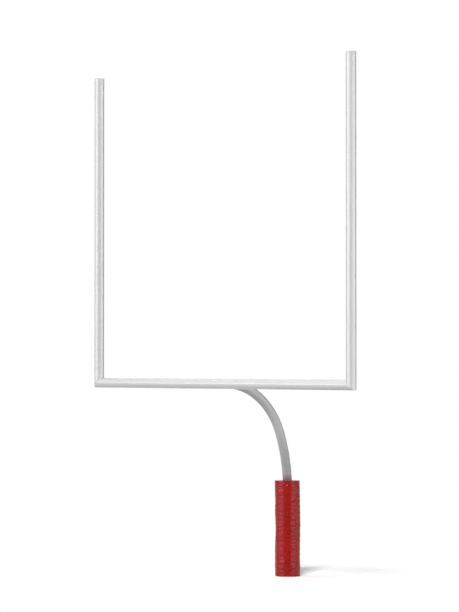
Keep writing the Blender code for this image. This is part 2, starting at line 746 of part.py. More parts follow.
def make_hinge(name, place, parent=None):
    """An empty on the fold's axis; place is in the object's frame."""
    hinge = bpy.data.objects.new(name, None)
    hinge.location = place - (parent["place"] if parent else Vector())
    hinge.parent = parent["empty"] if parent else None
    PARTS.objects.link(hinge)
    return {"empty": hinge, "place": place}


def hang(obj, hinge):
    """The object moves with the hinge, and stays where it is."""
    obj.parent = hinge["empty"]
    obj.matrix_basis = Matrix.Translation(-hinge["place"]) @ obj.matrix_basis


def make_pad():
    """Four panels that fold on their welts, closed at the back by a flap."""
    # The core is the cover's hollow. It reaches inside the bore, so the cover opens there
    deep = PAD_BORE / 2
    inside = [(deep, PAD_BOTTOM + COVER_THICKNESS), (deep, PAD_TOP - COVER_THICKNESS)]
    core = panel_mesh("core", COVER_THICKNESS, inside)
    cover = panel_mesh("pad_cover", 0, pad_inside(0), core)
    inset = COVER_THICKNESS + GAP
    foam = panel_mesh("pad_foam", inset, pad_inside(inset))
    right_fold = make_hinge("rear_right_hinge", Vector((HINGE_RADIUS, 0, 0)))
    front_fold = make_hinge("front_left_hinge", Vector((0, -HINGE_RADIUS, 0)))
    left_fold = make_hinge("rear_left_hinge", Vector((-HINGE_RADIUS, 0, 0)), front_fold)
    panels = (
        ("rear_right", right_fold),
        ("rear_left", left_fold),
        ("front_left", front_fold),
        ("front_right", None),
    )
    for quarter, (name, hinge) in enumerate(panels):
        turned = Matrix.Rotation(quarter * math.pi / 2, 4, "Z")
        pieces = [add_part("pad_cover_" + name, cover, RED_VINYL, turned)]
        pieces.append(add_part("pad_foam_" + name, foam, FOAM, turned))
        for piece in pieces:
            if hinge:
                hang(piece, hinge)
    make_welts(front_fold)
    make_closure(right_fold, left_fold)


def make_welts(front_fold):
    """The round cords on the three seams that fold."""
    seams = (
        ("pad_welt_right", (HINGE_RADIUS, 0), None),
        ("pad_welt_front", (0, -HINGE_RADIUS), None),
        ("pad_welt_left", (-HINGE_RADIUS, 0), front_fold),
    )
    for name, (x, y), hinge in seams:
        curve = bpy.data.curves.new(name, "CURVE")
        curve.dimensions = "3D"
        curve.bevel_depth = WELT_RADIUS
        curve.bevel_resolution = WELT_STEPS
        curve.use_fill_caps = True
        spline = curve.splines.new("POLY")
        spline.points.add(1)
        spline.points[0].co = (0, 0, PAD_BOTTOM + WELT_END, 1)
        spline.points[1].co = (0, 0, PAD_TOP - WELT_END, 1)
        mesh = mesh_of_curve(curve)
        welt = add_part(name, mesh, RED_VINYL, Matrix.Translation((x, y, 0)))
        if hinge:
            hang(welt, hinge)


def make_closure(right_fold, left_fold):
    """The flap on the rear right panel, its hook strip, and the loop strip it meets."""

    def beside(distance):
        return CLOSURE_ANGLE + distance / PAD_RADIUS

    strip = (beside(STRIP_FROM_EDGE), beside(STRIP_FROM_EDGE + STRIP_WIDTH))
    wing = wrap_mesh("wing", FLAP_BACK, FLAP_FACE, beside(-FLAP_ROOT), beside(FLAP_OVERLAP))
    # The sewn root reaches halfway into the flap, a little inside its edge
    middle = FLAP_BACK + FLAP_THICKNESS / 2
    root_start = beside(FLAP_THICKNESS - FLAP_ROOT)
    root = wrap_mesh("root", GAP, middle, root_start, beside(-PANEL_SPLIT))
    flap = add_part("pad_closure_flap", joined_mesh(root, wing), RED_VINYL)
    hook = wrap_mesh("hook", HOOK_STRIP_BACK, HOOK_STRIP_FACE, *strip)
    loop = wrap_mesh("loop", GAP, LOOP_STRIP_FACE, *strip)
    hook_strip = add_part("closure_hook_strip", hook, HOOK_AND_LOOP)
    loop_strip = add_part("closure_loop_strip", loop, HOOK_AND_LOOP)
    hang(flap, right_fold)
    hang(hook_strip, right_fold)
    hang(loop_strip, left_fold)


def main():
    crossbar, uprights = make_frame_tubes()
    make_corners(crossbar, uprights)
    make_top_caps()
    make_gooseneck()
    make_saddle(crossbar)
    make_base()
    make_studs()
    make_pad()


main()
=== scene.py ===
"""Dresses the american football goalpost: materials, sewn pad, welds, light, floor, camera."""

import json
import math

import bmesh
import bpy
import numpy as np
from mathutils import Matrix, Vector, noise


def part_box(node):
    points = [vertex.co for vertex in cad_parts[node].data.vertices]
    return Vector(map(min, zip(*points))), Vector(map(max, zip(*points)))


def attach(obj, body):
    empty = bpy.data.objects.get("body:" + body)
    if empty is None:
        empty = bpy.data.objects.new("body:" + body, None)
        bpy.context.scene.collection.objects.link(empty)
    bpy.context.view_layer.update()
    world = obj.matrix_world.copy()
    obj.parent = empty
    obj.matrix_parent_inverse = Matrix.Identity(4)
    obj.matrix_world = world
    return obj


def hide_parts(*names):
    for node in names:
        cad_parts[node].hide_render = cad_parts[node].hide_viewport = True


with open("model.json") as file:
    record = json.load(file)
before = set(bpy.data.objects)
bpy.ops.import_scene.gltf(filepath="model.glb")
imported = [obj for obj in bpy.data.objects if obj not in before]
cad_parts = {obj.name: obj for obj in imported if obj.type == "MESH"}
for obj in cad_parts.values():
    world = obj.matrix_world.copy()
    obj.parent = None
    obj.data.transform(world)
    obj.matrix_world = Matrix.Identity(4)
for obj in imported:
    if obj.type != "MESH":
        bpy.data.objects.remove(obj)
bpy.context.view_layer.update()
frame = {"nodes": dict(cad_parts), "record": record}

# Camera, from edges measured in the photograph
CAMERA_AT = Vector((35.049, -31.963, 3.354))
CAMERA_TURN = math.radians(48.718)  # to the right of the field's middle line
CAMERA_PITCH = math.radians(0.9828)
CAMERA_LENS = 180.588

# Sizes that the pieces here share with the part's source, in metres
NECK_RADIUS = 0.06985
SETBACK = 1.395762
CROSSBAR_Z = 2.9718
SADDLE_OUTER = 0.0865
FOOT_Z = 0.0773
RECESS_RADIUS = 0.16785
RECESS_TOP = 0.1973
PAD_BORE = 0.07015
MOUTH_RADIUS = 0.085636
MOUTH_BOTTOM = 1.323887
MOUTH_TAPER = 0.040
RIM = 0.012
SPLIT = 0.0005  # half the gap between two panels
HEM_BELOW_TOP = 0.095
COVER = 0.0015
WELT_RADIUS = 0.0035
WELT_SUNK = 0.0015
FLAP_END = 0.030
FLAP_START = -0.030
FLAP_REACH = 0.075
FLAP_BACK = 0.0033
FLAP_FACE = 0.0053
STRIP_NEAR = 0.014
STRIP_FAR = 0.064

LOW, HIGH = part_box("pad_cover_front_right")
PAD_BOTTOM = LOW[2]
PAD_TOP = HIGH[2]
PAD_RADIUS = HIGH[0]
HEM_Z = PAD_TOP - HEM_BELOW_TOP
WELT_AT = PAD_RADIUS - WELT_SUNK

# How far the shading rounds off edges and facets, in metres
PAINT_ROUNDING = 0.009
CAP_ROUNDING = 0.003
PLATE_ROUNDING = 0.0014
BENT_TUBE_ROUNDING = 0.014

SPANGLES = 95.0  # zinc crystals in a metre
PAINTED_LIGHT_FROM = 1.65  # painted light: the gooseneck's upper bend is painted lighter from this height
PAINTED_LIGHT_TO = 2.25  # and fully so from this one
RED_REFLECTION_REACH = 0.11  # the painted reflection and shade of the pad's red top reach this far up the tube

COLLECTION = bpy.data.collections.new("dressed_goalpost")
bpy.context.scene.collection.children.link(COLLECTION)


# Materials


class Nodes:
    """A material's node tree, with short ways to add and join nodes."""

    def __init__(self, name, tree=None):
        if tree is None:
            self.material = bpy.data.materials.new(name)
            self.material.use_nodes = True
            tree = self.material.node_tree
        self.tree = tree
        self.shader = tree.nodes.get("Principled BSDF")

    def add(self, kind, **settings):
        node = self.tree.nodes.new(kind)
        for key, value in settings.items():
            setattr(node, key, value)
        return node

    def join(self, source, target):
        self.tree.links.new(source, target)

    def place(self, scale=(1, 1, 1)):
        """Places on the object, in metres times the scale."""
        coords = self.add("ShaderNodeTexCoord")
        mapping = self.add("ShaderNodeMapping")
        mapping.inputs["Scale"].default_value = scale
        self.join(coords.outputs["Object"], mapping.inputs["Vector"])
        return mapping.outputs["Vector"]

    def noise(self, scale, detail=2.0, stretch=(1, 1, 1), roughness=0.5):
        """Soft noise of a scale per metre. A stretch below 1 draws it out along that axis."""
        node = self.add("ShaderNodeTexNoise")
        node.inputs["Scale"].default_value = scale
        node.inputs["Detail"].default_value = detail
        node.inputs["Roughness"].default_value = roughness
        self.join(self.place(stretch), node.inputs["Vector"])
        return node.outputs["Fac"]

    def cells(self, scale, feature="F1", output="Distance"):
        """Cells of a scale per metre: pores, grain or zinc crystals."""
        node = self.add("ShaderNodeTexVoronoi", feature=feature)
        node.inputs["Scale"].default_value = scale
        self.join(self.place(), node.inputs["Vector"])
        return node.outputs[output]

    def range(self, value, low, high, start=0.0, end=1.0):
        """A value that runs from start to end, laid over low to high."""
        node = self.add("ShaderNodeMapRange")
        node.inputs["From Min"].default_value = start
        node.inputs["From Max"].default_value = end
        node.inputs["To Min"].default_value = low
        node.inputs["To Max"].default_value = high
        self.join(value, node.inputs["Value"])
        return node.outputs["Result"]

    def math(self, operation, first, second):
        node = self.add("ShaderNodeMath", operation=operation)
        for socket, value in zip(node.inputs, (first, second)):
            if isinstance(value, (int, float)):
                socket.default_value = value
            else:
                self.join(value, socket)
        return node.outputs["Value"]

    def mix(self, amount, first, second):
        """A colour between two colours, each a tuple or a socket."""
        node = self.add("ShaderNodeMix", data_type="RGBA")
        self.join(amount, node.inputs[0])
        for socket, value in ((node.inputs[6], first), (node.inputs[7], second)):
            if isinstance(value, tuple):
                socket.default_value = (*value, 1.0)
            else:
                self.join(value, socket)
        return node.outputs[2]

    def normal_z(self):
        """How far the surface faces up: 1 on a level top, 0 on a side."""
        place = self.add("ShaderNodeNewGeometry")
        single = self.add("ShaderNodeSeparateXYZ")
        self.join(place.outputs["Normal"], single.inputs[0])
        return single.outputs["Z"]

    def height(self):
        """Height on the object, in metres."""
        coords = self.add("ShaderNodeTexCoord")
        single = self.add("ShaderNodeSeparateXYZ")
        self.join(coords.outputs["Object"], single.inputs[0])
        return single.outputs["Z"]

    def rounded(self, radius):
        """The normal with the edges and facets of the mesh rounded off in the shading."""
        node = self.add("ShaderNodeBevel", samples=8)
        node.inputs["Radius"].default_value = radius
        return node.outputs["Normal"]

    def bump(self, height, strength, distance, below=None):
        node = self.add("ShaderNodeBump")
        node.inputs["Strength"].default_value = strength
        node.inputs["Distance"].default_value = distance
        self.join(height, node.inputs["Height"])
        if below is not None:
            self.join(below, node.inputs["Normal"])
        return node.outputs["Normal"]

    def finish(self, color=None, roughness=None, normal=None, **constants):
        """Joins what varies and sets what is the same all over."""
        varied = (("Base Color", color), ("Roughness", roughness), ("Normal", normal))
        for name, value in varied:
            if value is not None:
                self.join(value, self.shader.inputs[name])
        for name, value in constants.items():
            self.shader.inputs[name.replace("_", " ")].default_value = value
        return self.material


def painted_steel():
    """White powder coat: fine orange peel, faint unevenness and rain marks."""
    m = Nodes("white_paint")
    broad = m.noise(1.7, 4.0)
    rain = m.noise(26.0, 3.0, (1, 1, 0.05))
    color = m.mix(m.range(broad, 0.0, 1.0, 0.3, 0.7), (0.745, 0.745, 0.745),
                  (0.735, 0.735, 0.735))
    color = m.mix(m.range(rain, 0.0, 0.03, 0.52, 0.75), color, (0.68, 0.675, 0.665))
    roughness = m.range(m.noise(9.0, 5.0), 0.24, 0.28, 0.3, 0.7)
    peel = m.bump(m.noise(300.0, 1.0), 0.03, 0.0002, m.rounded(PAINT_ROUNDING))
    return m.finish(color, roughness, peel, Coat_Weight=0.8, Coat_Roughness=0.12)


def moulded_plastic():
    """White weathered end caps with a fine moulded grain."""
    m = Nodes("white_plastic")
    color = m.mix(m.range(m.noise(30.0, 4.0), 0, 1, 0.3, 0.7), (0.76, 0.76, 0.75),
                  (0.68, 0.675, 0.655))
    roughness = m.range(m.noise(60.0, 3.0), 0.42, 0.58, 0.3, 0.7)
    normal = m.bump(m.noise(900.0, 2.0), 0.35, 0.0003, m.rounded(CAP_ROUNDING))
    return m.finish(color, roughness, normal)


def galvanised_steel(name, radius):
    """Zinc spangle: crystals a centimetre across, each with its own grey and gloss."""
    m = Nodes(name)
    cell = m.cells(SPANGLES, output="Color")
    single = m.add("ShaderNodeSeparateColor")
    m.join(cell, single.inputs[0])
    shade = single.outputs[0]
    color = m.mix(m.range(shade, 0, 1), (0.46, 0.462, 0.465), (0.38, 0.382, 0.385))
    color = m.mix(m.range(m.noise(14.0, 5.0), 0, 0.30, 0.45, 0.75), color, (0.32, 0.32, 0.315))
    # Painted light: the upper bend is painted lighter, and just above the pad the tube gets a
    # painted dark red reflection and shade of the pad's top
    painted_light_bend = m.range(m.height(), 0.0, 0.35, PAINTED_LIGHT_FROM, PAINTED_LIGHT_TO)
    color = m.mix(painted_light_bend, color, (0.70, 0.70, 0.70))
    painted_red_reflection = m.math("MULTIPLY", m.range(m.height(), 0.0, 1.0, PAD_TOP + RED_REFLECTION_REACH, PAD_TOP),
                    m.range(m.noise(11.0, 4.0), 0.65, 1.0, 0.35, 0.65))
    color = m.mix(painted_red_reflection, color, (0.20, 0.095, 0.090))
    roughness = m.range(single.outputs[1], 0.48, 0.62)
    edges = m.bump(m.cells(SPANGLES, "DISTANCE_TO_EDGE"), 0.12, 0.0003, m.rounded(radius))
    normal = m.bump(m.noise(600.0, 3.0), 0.10, 0.0002, edges)
    return m.finish(color, roughness, normal, Metallic=0.35, Specular_IOR_Level=0.2)


def red_vinyl():
    """Glossy coated cloth: pebble grain, ridges painted lighter from wear and painted
    highlight, painted shade in the creases.
    """
    m = Nodes("red_vinyl")
    depth = m.add("ShaderNodeAttribute", attribute_name="crease").outputs["Fac"]
    tone = m.range(m.noise(5.5, 4.0, (1, 1, 0.6)), 0, 1, 0.3, 0.7)
    color = m.mix(tone, (0.47, 0.003, 0.003), (0.365, 0.002, 0.002))
    # Painted shade: the creases are painted darker
    color = m.mix(m.range(depth, 0.0, 0.45, 0.05, 1.0), color, (0.16, 0.002, 0.003))
    # Ridges painted lighter: partly wear, partly a painted highlight
    ridge = m.range(depth, 0.0, 1.0, -0.10, -0.50)
    wear_and_sheen = m.math("MULTIPLY", ridge, m.range(m.noise(150.0, 3.0), 0, 0.9, 0.42, 0.62))
    color = m.mix(m.math("MULTIPLY", wear_and_sheen, 0.20), color, (0.66, 0.14, 0.12))
    chalk = m.range(m.noise(42.0, 6.0, (0.4, 0.4, 2.5), 0.62), 0.0, 0.06, 0.54, 0.72)
    color = m.mix(chalk, color, (0.50, 0.05, 0.045))
    roughness = m.range(m.noise(34.0, 5.0, (1, 1, 3)), 0.26, 0.37, 0.3, 0.7)
    # The wrinkles keep to the sides: the top is stretched flat and smooth
    upright = m.range(m.normal_z(), 1.0, 0.1, 0.5, 0.95)
    roughness = m.math("MULTIPLY", roughness, m.range(upright, 0.3, 1.0, 0.1, 1.0))
    grain = m.bump(m.cells(720.0), 0.22, 0.00022)
    wrinkles = m.math("MULTIPLY", m.noise(170.0, 3.0, (0.16, 0.16, 1.6)), upright)
    fine = m.bump(wrinkles, 0.18, 0.0009, grain)
    waves = m.math("MULTIPLY", m.noise(46.0, 3.0, (0.10, 0.10, 1.9)), upright)
    normal = m.bump(waves, 0.31, 0.0028, fine)
    return m.finish(color, roughness, normal, Specular_IOR_Level=0.15, Coat_Weight=0.25,
                    Coat_Roughness=0.18)


def thread():
    """Twisted red thread of the seams."""
    m = Nodes("seam_thread")
    color = m.mix(m.noise(900.0, 3.0), (0.20, 0.008, 0.010), (0.10, 0.004, 0.006))
    normal = m.bump(m.noise(2600.0, 2.0, (1, 1, 0.3)), 0.6, 0.0002)
    return m.finish(color, m.range(m.noise(400.0), 0.62, 0.8), normal)


def pad_foam():
    """Open foam: pores of two sizes on a yellowed cream."""
    m = Nodes("pad_foam")
    pores = m.cells(620.0)
    color = m.mix(m.range(m.noise(7.0, 4.0), 0, 1, 0.3, 0.7), (0.78, 0.74, 0.60),
                  (0.66, 0.60, 0.43))
    # Painted shade: the small pores are painted darker in their hollows
    color = m.mix(m.range(pores, 0.45, 0.0, 0.05, 0.4), color, (0.30, 0.25, 0.16))
    big = m.bump(m.cells(210.0), 0.5, 0.0010)
    normal = m.bump(pores, 0.9, 0.0012, big)
    return m.finish(color, m.range(pores, 0.98, 0.86), normal)


def hook_and_loop():
    """Woven black tape with a napped face."""
    m = Nodes("hook_and_loop")
    weave = m.add("ShaderNodeTexWave", wave_type="BANDS", bands_direction="Z")
    weave.inputs["Scale"].default_value = 260.0
    weave.inputs["Distortion"].default_value = 1.5
    m.join(m.place(), weave.inputs["Vector"])
    nap = m.noise(1500.0, 3.0)
    color = m.mix(nap, (0.012, 0.012, 0.013), (0.060, 0.060, 0.062))
    below = m.bump(weave.outputs["Fac"], 0.5, 0.0006)
    normal = m.bump(nap, 1.0, 0.0010, below)
    return m.finish(color, m.range(nap, 0.85, 1.0), normal)


PAINT = painted_steel()
PLASTIC = moulded_plastic()
ZINC = galvanised_steel("galvanised_steel", PLATE_ROUNDING)
ZINC_TUBE = galvanised_steel("galvanised_tube", BENT_TUBE_ROUNDING)
VINYL = red_vinyl()
THREAD = thread()
FOAM = pad_foam()
TAPE = hook_and_loop()
FINISHES = {
    "white_paint": PAINT,
    "white_plastic": PLASTIC,
    "galvanised_steel": ZINC,
    "red_vinyl": VINYL,
    "pad_foam": FOAM,
    "hook_and_loop": TAPE,
}


def dress_frame():
    """Better finishes in the slots of the CAD nodes that stay."""
    slots = {s["node"]: s["material_slot"] for s in frame["record"]["subparts"]}
    for name, node in frame["nodes"].items():
        for slot in node.material_slots:
            slot.material = ZINC_TUBE if name == "gooseneck" else FINISHES[slots[name]]


# Meshes


def add_piece(name, verts, faces, material, body):
    """A smooth-shaded mesh with one material, that rides on a body."""
    mesh = bpy.data.meshes.new(name)
    mesh.from_pydata([tuple(v) for v in verts], [], faces)
    mesh.validate()
    mesh.materials.append(material)
    mesh.shade_smooth()
    piece = bpy.data.objects.new(name, mesh)
    COLLECTION.objects.link(piece)
    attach(piece, body)
    return piece


def grid_faces(rows, columns, closed=False):
    """Quads of a grid whose points run along its rows."""
    faces = []
    wide = columns if closed else columns - 1
    for i in range(rows - 1):
        for j in range(wide):
            a = i * columns + j
            b = i * columns + (j + 1) % columns
            faces.append((a, b, b + columns, a + columns))
    return faces


ACROSS = (0.31, 0.22, 0.92)  # no route here runs this way


def tube_along(points, radii, sides, closed=False):
    """Points and faces of a round bead or cord along a route."""
    points = np.asarray(points, float)
    if closed:
        ahead = np.roll(points, -1, axis=0) - np.roll(points, 1, axis=0)
    else:
        ahead = np.gradient(points, axis=0)
    ahead /= np.linalg.norm(ahead, axis=1)[:, None]
    side = np.cross(ahead, ACROSS)
    side /= np.linalg.norm(side, axis=1)[:, None]
    over = np.cross(ahead, side)
    turn = np.linspace(0, 2 * math.pi, sides, endpoint=False)[None, :, None]
    ring = side[:, None] * np.cos(turn) + over[:, None] * np.sin(turn)
    verts = (points[:, None] + ring * np.asarray(radii)[:, None, None]).reshape(-1, 3)
    count = len(points)
    faces = grid_faces(count, sides, closed=True)
    if closed:
        last = (count - 1) * sides
        faces += [
            (last + j, last + (j + 1) % sides, (j + 1) % sides, j) for j in range(sides)
        ]
    else:
        faces.append(tuple(range(sides)))
        faces.append(tuple(reversed(range((count - 1) * sides, count * sides))))
    return verts, faces


def merged(parts):
    """Points and faces of many parts as one mesh's."""
    verts, faces = [], []
    for more_verts, more_faces in parts:
        first = sum(len(v) for v in verts)
        verts.append(np.asarray(more_verts))
        faces += [tuple(first + i for i in face) for face in more_faces]
    return np.concatenate(verts), faces


# Pad covers


SIDE_ROWS = 341
DIP = 0.002  # the top sinks towards its mouth
DIP_FROM = 0.115
TOP_RIM = 0.006  # the sewn top edge is tighter than the part's rim
LIP = 0.004  # and it stands above the top
LIP_FROM = 0.150
LIP_TOP = PAD_TOP + LIP
ARC_COLUMNS = 30
EDGE = 0.0055  # radius of a panel's rounded upright edges
# Columns at a panel's edge: distance in from its side, and depth under its face
EDGE_COLUMNS = [(0.0, EDGE + 0.005), (0.0, EDGE)] + [
    (EDGE * (1 - math.cos(math.radians(t))), EDGE * (1 - math.sin(math.radians(t))))
    for t in (25, 50, 72)
]
BOTTOM_ROWS = 2
RIM_STEPS = 4
TOP_ROWS = 15
FIRST_SIDE_ROW = BOTTOM_ROWS + RIM_STEPS
ARC = PAD_RADIUS * math.pi / 2  # a quarter's length round the pad


def pad_profile():
    """The cover's outline from its lower inner edge, round the outside, to its mouth.

    Returns places (radius, height) and outward directions.
    """
    places, outward = [], []

    def put(radius, height, direction):
        places.append((radius, height))
        outward.append(direction)

    for radius in np.linspace(RECESS_RADIUS, PAD_RADIUS - RIM, BOTTOM_ROWS + 1)[:-1]:
        put(radius, PAD_BOTTOM, (0, -1))
    for turn in np.linspace(-90, 0, RIM_STEPS + 1)[:-1]:
        a = math.radians(turn)
        put(PAD_RADIUS - RIM + RIM * math.cos(a), PAD_BOTTOM + RIM + RIM * math.sin(a),
            (math.cos(a), math.sin(a)))
    for height in np.linspace(PAD_BOTTOM + RIM, LIP_TOP - TOP_RIM, SIDE_ROWS):
        put(PAD_RADIUS, height, (1, 0))
    for turn in np.linspace(0, 90, RIM_STEPS + 1)[1:]:
        a = math.radians(turn)
        put(PAD_RADIUS - TOP_RIM + TOP_RIM * math.cos(a),
            LIP_TOP - TOP_RIM + TOP_RIM * math.sin(a), (math.cos(a), math.sin(a)))
    for radius in np.linspace(PAD_RADIUS - TOP_RIM, MOUTH_RADIUS, TOP_ROWS)[1:]:
        share = min(1.0, max(0.0, (DIP_FROM - radius) / (DIP_FROM - MOUTH_RADIUS)))
        lip = max(0.0, (radius - LIP_FROM) / (PAD_RADIUS - TOP_RIM - LIP_FROM)) ** 2
        put(radius, PAD_TOP + LIP * lip - DIP * (1 - math.cos(math.pi * share)) / 2, (0, 1))
    return np.array(places), np.array(outward)


def panel_skin(quarter):
    """The cover's grid for one quarter, with the pad's flat faces and rounded edges."""
    places, outward = pad_profile()
    rows = len(places)
    columns = 2 * len(EDGE_COLUMNS) + ARC_COLUMNS
    grid = np.zeros((rows, columns, 3))
    free = np.zeros((rows, columns))
    start = quarter * math.pi / 2
    for i, ((radius, height), (dr, dz)) in enumerate(zip(places, outward)):
        reach = radius * math.pi / 2 - 2 * SPLIT
        ins = [d for d, _ in EDGE_COLUMNS]
        across = ins + list(np.linspace(EDGE, reach - EDGE, ARC_COLUMNS))
        across += [reach - d for d in reversed(ins)]
        depths = [n for _, n in EDGE_COLUMNS] + [0.0] * ARC_COLUMNS
        depths += [n for _, n in reversed(EDGE_COLUMNS)]
        for j, (distance, depth) in enumerate(zip(across, depths)):
            angle = start + (distance + SPLIT) / radius
            r = radius - depth * dr
            grid[i, j] = (r * math.cos(angle), r * math.sin(angle), height - depth * dz)
            inner = len(EDGE_COLUMNS) - 1 < j < columns - len(EDGE_COLUMNS)
            free[i, j] = 1.0 if dr > 0.99 and inner else 0.0
    return grid, free


CUT_TALLER = 1.012
CLOTH_FRAMES = 20
CLOTH_SEED = 11
CLOTH_START = 0.0004  # unevenness that the folds start from
# The settled cloth moves no further than this: in, out, and along the surface
CLOTH_IN = 0.0024
CLOTH_OUT = 0.0026
CLOTH_ALONG = 0.004

LEAN_HEIGHTS = (
    0.00, 0.10, 0.17, 0.26, 0.36, 0.47, 0.60, 0.72, 0.84, 0.97, 1.15, 1.27, 1.37, 1.47,
)
# How far the middle of a panel stands out, in millimetres, at those heights
LEAN = {
    "front_left": (0, 0, 1.5, 2.5, 2.5, 0.5, -6.5, -9.0, -4.5, -1.0, -4.0, 0.5, 3.0, 5.5),
    "rear_right": (2, 4, 4.0, 2.0, 0.0, 0.5, 3.0, 4.5, 4.5, 2.5, 1.0, 0.0, -2.0, -6.5),
    "front_right": (0, 1, 2.0, 1.0, -1.0, -2.0, 0.0, 1.5, 0.5, -1.5, -1.0, 1.0, 1.0, 0.0),
    "rear_left": (0, 1, 1.0, -1.0, -2.0, 0.0, 1.5, 1.0, -1.0, -1.5, 0.5, 1.0, 0.5, 0.0),
}
FOLD_IN = 0.0058  # a fold goes no deeper than this
LEAN_WINDOW = 33  # samples of 400 up the pad that the lean is smoothed over
# Folds: the ridge beside a valley, as a share of its depth and in widths away from it
RIDGE_SHARE = 0.55
RIDGE_OFF = 1.9
FOLD_SEED = 101
FULL_CREASE = 0.0016  # this depth counts as 1 in the vinyl's painted crease shade and lighter ridges
HEM_DEPTH = 0.0014
HEM_WIDTH = 0.0055
SEAM_DEPTH = 0.0012
SEAM_WIDTH = 0.006
SEAM_IN = 0.006


def buckle(name, grid, free, seed):
    """Cloth simulation of a skin that is cut a little taller than the foam it wraps."""
    rows, columns = grid.shape[:2]
    start = grid.reshape(-1, 3).copy()
    mesh = bpy.data.meshes.new(name + "_cloth")
    mesh.from_pydata([tuple(v) for v in start], [], grid_faces(rows, columns))
    cloth = bpy.data.objects.new(name + "_cloth", mesh)
    bpy.context.scene.collection.objects.link(cloth)
    group = cloth.vertex_groups.new(name="sewn")
    group.add([int(i) for i in np.nonzero(free.reshape(-1) < 0.5)[0]], 1.0, "REPLACE")
    cloth.shape_key_add(name="Basis")
    cut = cloth.shape_key_add(name="cut")
    middle = (PAD_BOTTOM + PAD_TOP) / 2
    rng = np.random.default_rng(seed)
    rough = rng.normal(0, CLOTH_START, start.shape[0])
    outward = start * (1, 1, 0)
    outward /= np.linalg.norm(outward, axis=1)[:, None]
    begin = start + outward * (rough * free.reshape(-1))[:, None]
    tall = begin.copy()
    tall[:, 2] = middle + (begin[:, 2] - middle) * CUT_TALLER
    cloth.data.shape_keys.key_blocks["Basis"].data.foreach_set("co", begin.ravel())
    cut.data.foreach_set("co", tall.ravel())
    cloth.data.vertices.foreach_set("co", begin.ravel())
    modifier = cloth.modifiers.new("cloth", "CLOTH")
    settings = modifier.settings
    settings.quality = 6
    settings.mass = 0.25
    settings.tension_stiffness = 25
    settings.compression_stiffness = 25
    settings.shear_stiffness = 8
    settings.bending_stiffness = 0.6
    settings.air_damping = 1.0
    settings.vertex_group_mass = "sewn"
    settings.rest_shape_key = cut
    settings.use_pressure = True
    settings.uniform_pressure_force = 2.0
    settings.effector_weights.gravity = 0
    modifier.point_cache.frame_start = 1
    modifier.point_cache.frame_end = CLOTH_FRAMES
    for number in range(1, CLOTH_FRAMES + 1):
        bpy.context.scene.frame_set(number)
    graph = bpy.context.evaluated_depsgraph_get()
    done = np.empty(start.size)
    cloth.evaluated_get(graph).data.vertices.foreach_get("co", done)
    done = done.reshape(-1, 3)
    bpy.context.scene.frame_set(1)
    bpy.data.objects.remove(cloth)
    bpy.data.meshes.remove(mesh)
    moved = done - start
    out = (moved * outward).sum(axis=1)
    along = moved - outward * out[:, None]
    out = np.clip(out, -CLOTH_IN, CLOTH_OUT)
    size = np.linalg.norm(along, axis=1)
    along *= np.minimum(1.0, CLOTH_ALONG / np.maximum(size, 1e-9))[:, None]
    settled = start + (outward * out[:, None] + along) * free.reshape(-1)[:, None]
    return settled.reshape(grid.shape)


def lean(name, turn, radius, height):
    """How far out the panel stands at a turn from its start, without its folds."""
    fine = np.linspace(0, PAD_TOP, 400)
    values = np.interp(fine, LEAN_HEIGHTS, LEAN[name]) / 1000
    window = np.hanning(LEAN_WINDOW)
    padded = np.pad(values, LEAN_WINDOW // 2, mode="edge")
    smooth = np.convolve(padded, window / window.sum(), "valid")
    outside = np.clip((radius - 0.10) / 0.07, 0, 1)
    across = np.sin(2 * np.clip(turn, 0, math.pi / 2))
    return np.interp(height, fine, smooth) * across * outside


def creases(seed):
    """Horizontal folds of one panel: (height, arc place, tilt, half length, width, depth)."""
    rng = np.random.default_rng(seed)
    folds = []
    # Long folds every five centimetres or so
    for height in np.arange(PAD_BOTTOM + 0.045, HEM_Z - 0.02, 0.052):
        folds.append((height + rng.uniform(-0.016, 0.016), rng.uniform(0.12, 0.88) * ARC,
                      rng.uniform(-0.03, 0.03), rng.uniform(0.09, 0.22),
                      rng.uniform(0.0050, 0.0074), rng.uniform(0.0007, 0.0013)))
    # Shallow ones between them
    for height in np.arange(PAD_BOTTOM + 0.03, HEM_Z - 0.01, 0.021):
        folds.append((height + rng.uniform(-0.008, 0.008), rng.uniform(0.0, 1.0) * ARC,
                      rng.uniform(-0.04, 0.04), rng.uniform(0.05, 0.16),
                      rng.uniform(0.0032, 0.0046), rng.uniform(0.0004, 0.0008)))
    # Slanting ones above the hem
    for _ in range(5):
        folds.append((HEM_Z + rng.uniform(0.018, 0.072), rng.uniform(0.1, 0.9) * ARC,
                      rng.choice((-1, 1)) * rng.uniform(0.10, 0.36), rng.uniform(0.04, 0.10),
                      rng.uniform(0.0075, 0.0110), rng.uniform(0.0008, 0.0014)))
    return folds


def crease_field(arc_place, height, folds):
    """Depth of the folds at each point, in metres: above 0 in a valley, below 0 on a ridge."""
    depth = np.zeros_like(height)
    for z, place, tilt, half, width, deep in folds:
        along = (arc_place - place) / half
        fade = np.clip(1 - along**2, 0, 1) ** 1.2
        off = (height - z - tilt * (arc_place - place)
               - 0.004 * np.sin(along * 4.0 + z * 90)) / width
        ridge = RIDGE_SHARE * np.exp(-((off - RIDGE_OFF) ** 2))
        depth += deep * fade * (np.exp(-(off**2)) - ridge)
    return depth


